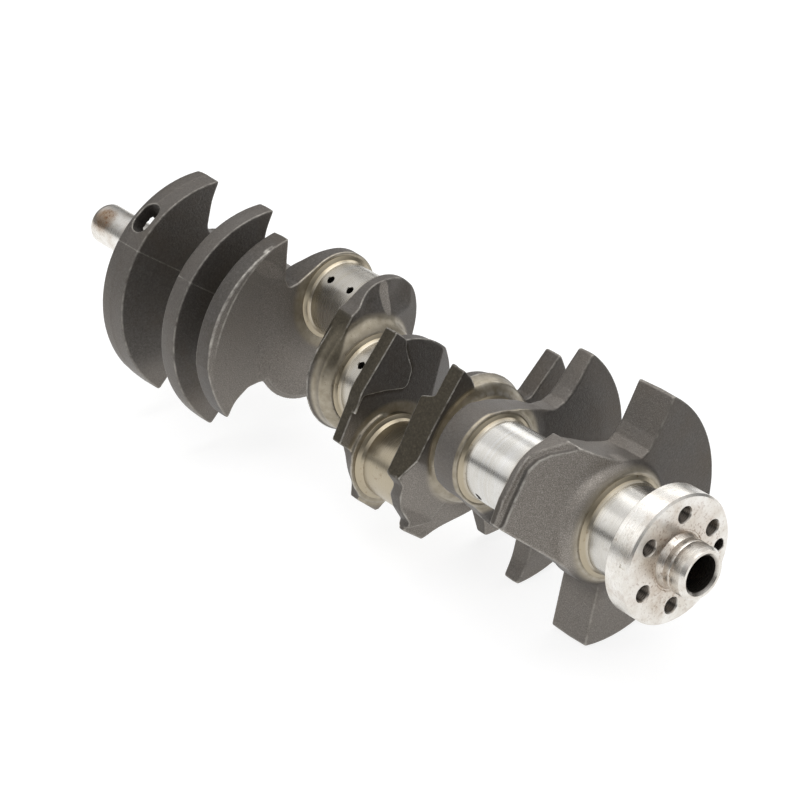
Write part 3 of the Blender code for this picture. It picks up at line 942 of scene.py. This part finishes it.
def cast_iron(name):
    g = Graph(name)
    patch = g.noise(0.030, 3.0, 0.6)
    mottled = g.noise(0.0016, 4.0, 0.7)
    grain = g.noise(0.0007, 2.0, 0.7)
    skin = [(0.28, (0.078, 0.071, 0.064)), (0.52, (0.112, 0.103, 0.094)), (0.76, (0.165, 0.153, 0.140))]
    colour = g.ramp(mottled, *skin)
    colour = g.mix(g.scaled(patch, 0.40, 0.72, 0.0, 0.45), colour, (0.105, 0.084, 0.062))
    speck = g.scaled(grain, 0.60, 0.74, 0.0, 0.4)
    colour = g.mix(speck, colour, (0.26, 0.245, 0.225))
    # painted shade: creases and corners of the castings are darkened towards dark brown
    painted_crease_shade = g.scaled(g.attribute("painted_crease_shade"), 0.10, 0.9, 0.0, 0.6)
    colour = g.mix(painted_crease_shade, colour, (0.050, 0.038, 0.026))
    polished = g.attribute("polished")
    streaks = g.noise(0.006, 3.0, 0.6)
    gilt = g.ramp(streaks, (0.3, (0.30, 0.26, 0.19)), (0.7, (0.46, 0.41, 0.32)))
    colour = g.mix(g.math("MULTIPLY", polished, 0.85), colour, gilt)
    # partly the blasted sand-coloured skin, partly painted light on faces turned towards the camera
    pale_skin_and_painted_light = g.attribute("pale_skin_and_painted_light")
    shot = g.noise(0.00055, 3.0, 0.6)
    sand = [(0.34, (0.210, 0.190, 0.168)), (0.52, (0.345, 0.315, 0.280)), (0.70, (0.56, 0.52, 0.475))]
    unpolished = g.math("SUBTRACT", 0.8, g.math("MULTIPLY", polished, 0.7))
    colour = g.mix(g.math("MULTIPLY", pale_skin_and_painted_light, unpolished), colour, g.ramp(shot, *sand))
    scorched = g.attribute("scorched")
    burnt = [(0.3, (0.036, 0.030, 0.019)), (0.55, (0.062, 0.052, 0.034)), (0.75, (0.105, 0.089, 0.060))]
    colour = g.mix(g.math("MULTIPLY", scorched, 0.85), colour, g.ramp(mottled, *burnt))
    broken = g.scaled(streaks, 0.35, 0.62, 0.15, 1.0)
    # painted highlight: convex edges of the castings are lightened towards pale grey, together with the
    # real mould line
    edge_highlight_and_mould_line = g.math("MULTIPLY", g.scaled(g.attribute("edge"), 0.5, 1.7), broken)
    colour = g.mix(edge_highlight_and_mould_line, colour, (0.50, 0.475, 0.43))
    g.feed(g.shader.inputs["Base Color"], colour)
    rough = g.scaled(mottled, 0.2, 0.8, 0.40, 0.60)
    rough = g.math("SUBTRACT", rough, g.math("MULTIPLY", g.math("MAXIMUM", edge_highlight_and_mould_line, polished), 0.17))
    g.feed(g.shader.inputs["Roughness"], rough)
    g.shader.inputs["Metallic"].default_value = 0.75
    flatter = g.math("SUBTRACT", 1.0, g.math("MULTIPLY", polished, 0.85))
    coarse = g.bump(mottled, 0.00030, flatter)
    fine = g.bump(grain, 0.00016, flatter, coarse)
    g.feed(g.shader.inputs["Normal"], fine)
    return g.material


def ground_steel(name):
    g = Graph(name)
    lines = g.noise(0.0007, 2.0, 0.6, (1.0, 0.0, 0.0))
    bands = g.noise(0.005, 3.0, 0.6, (1.0, 0.02, 0.02))
    cloud = g.noise(0.016, 3.0, 0.6)
    colour = g.ramp(cloud, (0.30, (0.70, 0.695, 0.68)), (0.70, (0.60, 0.59, 0.565)))
    warm = g.scaled(bands, 0.45, 0.75, 0.0, 0.45)
    colour = g.mix(warm, colour, (0.50, 0.455, 0.36))
    # gold: stain near the fillets, plus a tint over whole journals that is partly painted reflection of
    # the brown webs
    gold = g.attribute("gold")
    colour = g.mix(g.math("MULTIPLY", gold, 0.9), colour, (0.39, 0.33, 0.225))
    stain = g.scaled(g.noise(0.004, 4.0, 0.7), 0.60, 0.72, 0.0, 0.6)
    stain = g.math("MULTIPLY", stain, g.scaled(gold, 0.0, 1.0, 0.12, 0.9))
    colour = g.mix(stain, colour, (0.17, 0.10, 0.05))
    # painted shade: the walls of the oil holes are darkened nearly to black
    colour = g.mix(g.attribute("painted_hole_shade"), colour, (0.020, 0.018, 0.016))
    g.feed(g.shader.inputs["Base Color"], colour)
    rough = g.scaled(lines, 0.3, 0.7, 0.20, 0.29)
    g.feed(g.shader.inputs["Roughness"], g.math("ADD", rough, g.math("MULTIPLY", gold, 0.06)))
    g.shader.inputs["Metallic"].default_value = 1.0
    g.feed(g.shader.inputs["Normal"], g.bump(lines, 0.000012, 0.4))
    return g.material


def turned_steel(name):
    g = Graph(name)
    lines = g.noise(0.0008, 2.0, 0.6, (1.0, 0.0, 0.0))
    cloud = g.noise(0.012, 3.0, 0.6)
    fleck = g.noise(0.0017, 4.0, 0.75)
    colour = g.ramp(cloud, (0.30, (0.84, 0.82, 0.78)), (0.72, (0.72, 0.69, 0.63)))
    worn = g.attribute("worn")
    brown = g.scaled(g.noise(0.009, 3.0, 0.65), 0.46, 0.68, 0.0, 0.55)
    tan_share = g.math("ADD", g.math("MULTIPLY", brown, 0.45), g.math("MULTIPLY", worn, 0.55), True)
    colour = g.mix(tan_share, colour, (0.34, 0.23, 0.14))
    rusting = g.math("ADD", g.math("MULTIPLY", worn, 0.9), 0.22)
    spots = g.math("MULTIPLY", g.scaled(fleck, 0.54, 0.64), rusting, True)
    colour = g.mix(spots, colour, (0.20, 0.105, 0.055))
    # painted shade: the walls of the tapped holes, dowel hole and bores are darkened
    colour = g.mix(g.attribute("painted_hole_shade"), colour, (0.115, 0.100, 0.085))
    g.feed(g.shader.inputs["Base Color"], colour)
    rough = g.math("ADD", g.scaled(lines, 0.3, 0.7, 0.23, 0.33), g.math("MULTIPLY", spots, 0.35))
    g.feed(g.shader.inputs["Roughness"], rough)
    g.shader.inputs["Metallic"].default_value = 0.95
    g.feed(g.shader.inputs["Normal"], g.bump(lines, 0.000015, 0.4, g.bump(fleck, 0.00006, 0.4)))
    return g.material


def spots_of(made):
    """Vertex positions of a turned piece, in millimetres on the shaft's axes."""
    mesh = made.data
    spots = np.zeros(len(mesh.vertices) * 3, np.float32)
    mesh.vertices.foreach_get("co", spots)
    return (spots.reshape(-1, 3) - np.array(AXIS)).T / MM


def mark_journal(made, ends, radius, centre, stain_and_reflection):
    """Marks the warmer steel near a journal's fillets and a warm tint over the whole journal, partly
    stain and partly painted reflection of the brown webs, and painted shade on the walls of its oil
    holes.
    """
    x, y, z = spots_of(made)
    from_end = np.minimum(np.abs(x - ends[0]), np.abs(x - ends[1]))
    store(made.data, "gold", np.maximum(ramp(from_end, 6.0, 1.5), stain_and_reflection))
    depth = radius - away(y, z, centre)
    between = (x > ends[0] + 3) & (x < ends[1] - 3)
    store(made.data, "painted_hole_shade", ramp(depth, 0.9, 1.6) * between)


def mark_turned(made, rust, centre, reach, drilled):
    """Marks the rust round one spot of a turned piece, and painted shade on the walls of its drilled
    holes.
    """
    x, y, z = spots_of(made)
    gap = np.sqrt((x - centre[0]) ** 2 + (y - centre[1]) ** 2 + (z - centre[2]) ** 2)
    store(made.data, "worn", rust * ramp(gap, reach, reach * 0.4))
    store(made.data, "painted_hole_shade", drilled(x, y, z))


def flange_holes(x, y, z):
    """1 on the threads of the six tapped holes, in the dowel hole and in the bore, where shade is
    painted.
    """
    deep = FLANGE[1] - x
    share = ramp(away(y, z), BORE_RADIUS + 0.3, BORE_RADIUS + 0.1)
    for spot in bolt_spots():
        share = np.maximum(share, ramp(disc(y, z, 5.8, spot), 0.1, -0.1) * ramp(deep, 0.4, 1.2))
    dowel = ramp(disc(y, z, 4.6, on_circle(*DOWEL)), 0.1, -0.1) * ramp(deep, 0.2, 0.8)
    return np.maximum(share, dowel) * (x > FLANGE[0] + 0.2)


# 1 in the hub's bore near its end, where shade is painted
def hub_bore(x, y, z):
    return ramp(away(y, z), BORE_RADIUS + 1.0, BORE_RADIUS + 0.3) * ramp(HUB_END - x, 0.5, 2.0)


def nothing_drilled(x, *_):
    return np.zeros(len(x))


# ---- the crankshaft ----
cast = cast_iron("cast_iron_skin")
ground = ground_steel("ground_steel")
turned = turned_steel("turned_steel")
for web_name in WEBS:
    make_web(web_name, cast)

PIN_HOLES = {
    1: [(pin_middle(1) - 10, -60.0, 2.4), (pin_middle(1) + 10, -60.0, 2.4)],
    2: [(-64.1, 124.0, 2.7), (-44.0, 124.0, 2.6)],
    3: [(pin_middle(3) - 10, -20.0, 2.4), (pin_middle(3) + 10, -20.0, 2.4)],
    4: [(pin_middle(4) - 9.8, -150.4, 2.6), (pin_middle(4) + 9.8, -150.4, 2.6)],
}
MAIN_HOLES = {
    1: [],
    2: [(main_middle(2), 40.0, 2.5)],
    3: [(0.0, 130.9, 2.6)],
    4: [(main_middle(4), -60.0, 2.5)],
    5: [],
}
# a warm tint over each whole journal: partly stain, partly painted reflection of the brown webs,
# strongest on crankpin 3
PIN_STAIN_AND_REFLECTION = {1: 0.4, 2: 0.4, 3: 0.95, 4: 0.05}
MAIN_STAIN_AND_REFLECTION = {1: 0.45, 2: 0.45, 3: 0.45, 4: 0.45, 5: 0.25}
for number, holes in MAIN_HOLES.items():
    ends = (main_middle(number) - MAIN_HALF, main_middle(number) + MAIN_HALF)
    if number == 5:
        ends = REAR_MAIN
    made = journal(f"main_journal_{number}", *ends, MAIN_RADIUS, ground, MAIN_LINE, holes)
    mark_journal(made, ends, MAIN_RADIUS, MAIN_LINE, MAIN_STAIN_AND_REFLECTION[number])
for number, holes in PIN_HOLES.items():
    ends = (pin_middle(number) - PIN_HALF, pin_middle(number) + PIN_HALF)
    made = journal(f"crankpin_{number}", *ends, PIN_RADIUS, ground, pin_centre(number), holes)
    mark_journal(made, ends, PIN_RADIUS, pin_centre(number), PIN_STAIN_AND_REFLECTION[number])
mark_turned(make_flange(turned), 0.8, (FLANGE[1], 0.0, 0.0), 34.0, flange_holes)
mark_turned(make_hub(turned), 0.6, (FLANGE[1], 0.0, 0.0), 26.0, hub_bore)
rust_patch = (-314.0, *on_circle(NOSE_RADIUS, 133.0))
mark_turned(make_nose(turned), 1.4, rust_patch, 14.0, nothing_drilled)

# ---- studio ----
FLOOR_HALF = 6.0
PAPER_SHADES = (0.27, 0.29)
PAPER_GLOW = 0.82
SKY_SHADES = ((0.26, 0.13), (0.50, 0.50), (0.68, 0.92))
CAMERA_SPOT = (1039.28, -820.67, 706.74)
CAMERA_AIM = (-0.6863, 0.5502, -0.4757)
CAMERA_LENS = 105.95
CAMERA_SENSOR = 36.0

floor_mesh = bpy.data.meshes.new("floor")
floor_form = bmesh.new()
bmesh.ops.create_grid(floor_form, x_segments=1, y_segments=1, size=FLOOR_HALF)
floor_form.to_mesh(floor_mesh)
floor_form.free()
floor = new_object("floor", floor_mesh)
floor.location.z = cad_bounds[0][2]
paper = Graph("pale_paper")
paper_dark, paper_light = [(shade, shade, shade) for shade in PAPER_SHADES]
paper_tone = paper.ramp(paper.noise(0.4, 2.0), (0.3, paper_dark), (0.7, paper_light))
paper.feed(paper.shader.inputs["Base Color"], paper_tone)
paper.shader.inputs["Roughness"].default_value = 0.9
paper.shader.inputs["Specular IOR Level"].default_value = 0.1
paper.shader.inputs["Emission Color"].default_value = (1.0, 1.0, 1.0, 1.0)
paper.shader.inputs["Emission Strength"].default_value = PAPER_GLOW
floor_mesh.materials.append(paper.material)

sky = bpy.data.worlds.new("studio")
sky.use_nodes = True
tree = sky.node_tree
direction = tree.nodes.new("ShaderNodeTexCoord").outputs["Generated"]
split = tree.nodes.new("ShaderNodeSeparateXYZ")
tree.links.new(direction, split.inputs[0])
overhead = tree.nodes.new("ShaderNodeValToRGB")
tree.links.new(split.outputs["Z"], overhead.inputs["Fac"])
for height, shade in SKY_SHADES:
    band = overhead.color_ramp.elements.new(height)
    band.color = (shade, shade, shade * 1.01, 1.0)
overhead.color_ramp.elements[0].color = (0.08, 0.08, 0.08, 1.0)
overhead.color_ramp.elements[-1].color = (1.0, 1.0, 1.0, 1.0)
tree.links.new(overhead.outputs["Color"], tree.nodes["Background"].inputs["Color"])
tree.nodes["Background"].inputs["Strength"].default_value = 1.0
bpy.context.scene.world = sky
bpy.context.scene.view_settings.view_transform = "Standard"


def aimed(made, spot, direction):
    """Puts a light or the camera at spot, looking along direction."""
    made.location = spot
    made.rotation_euler = direction.to_track_quat("-Z", "Y").to_euler()


def softbox(name, offset, width, height, power):
    """A soft rectangular light at an offset from the shaft's middle, aimed at it."""
    light = bpy.data.lights.new(name, "AREA")
    light.shape = "RECTANGLE"
    light.size = width
    light.size_y = height
    light.energy = power
    spot = AXIS + Vector(offset)
    aimed(new_object(name, light), spot, AXIS - spot)


softbox("top_softbox", (-0.1, 0.2, 1.5), 1.4, 1.4, 9)
softbox("left_softbox", (-0.9, -1.3, 0.9), 0.9, 1.2, 3)
softbox("back_softbox", (-0.6, 1.5, 0.8), 1.6, 0.8, 6)

camera_data = bpy.data.cameras.new("camera")
camera_data.sensor_width = CAMERA_SENSOR
camera_data.lens = CAMERA_LENS
camera = new_object("camera", camera_data)
aimed(camera, world(CAMERA_SPOT), Vector(CAMERA_AIM))
bpy.context.scene.camera = camera
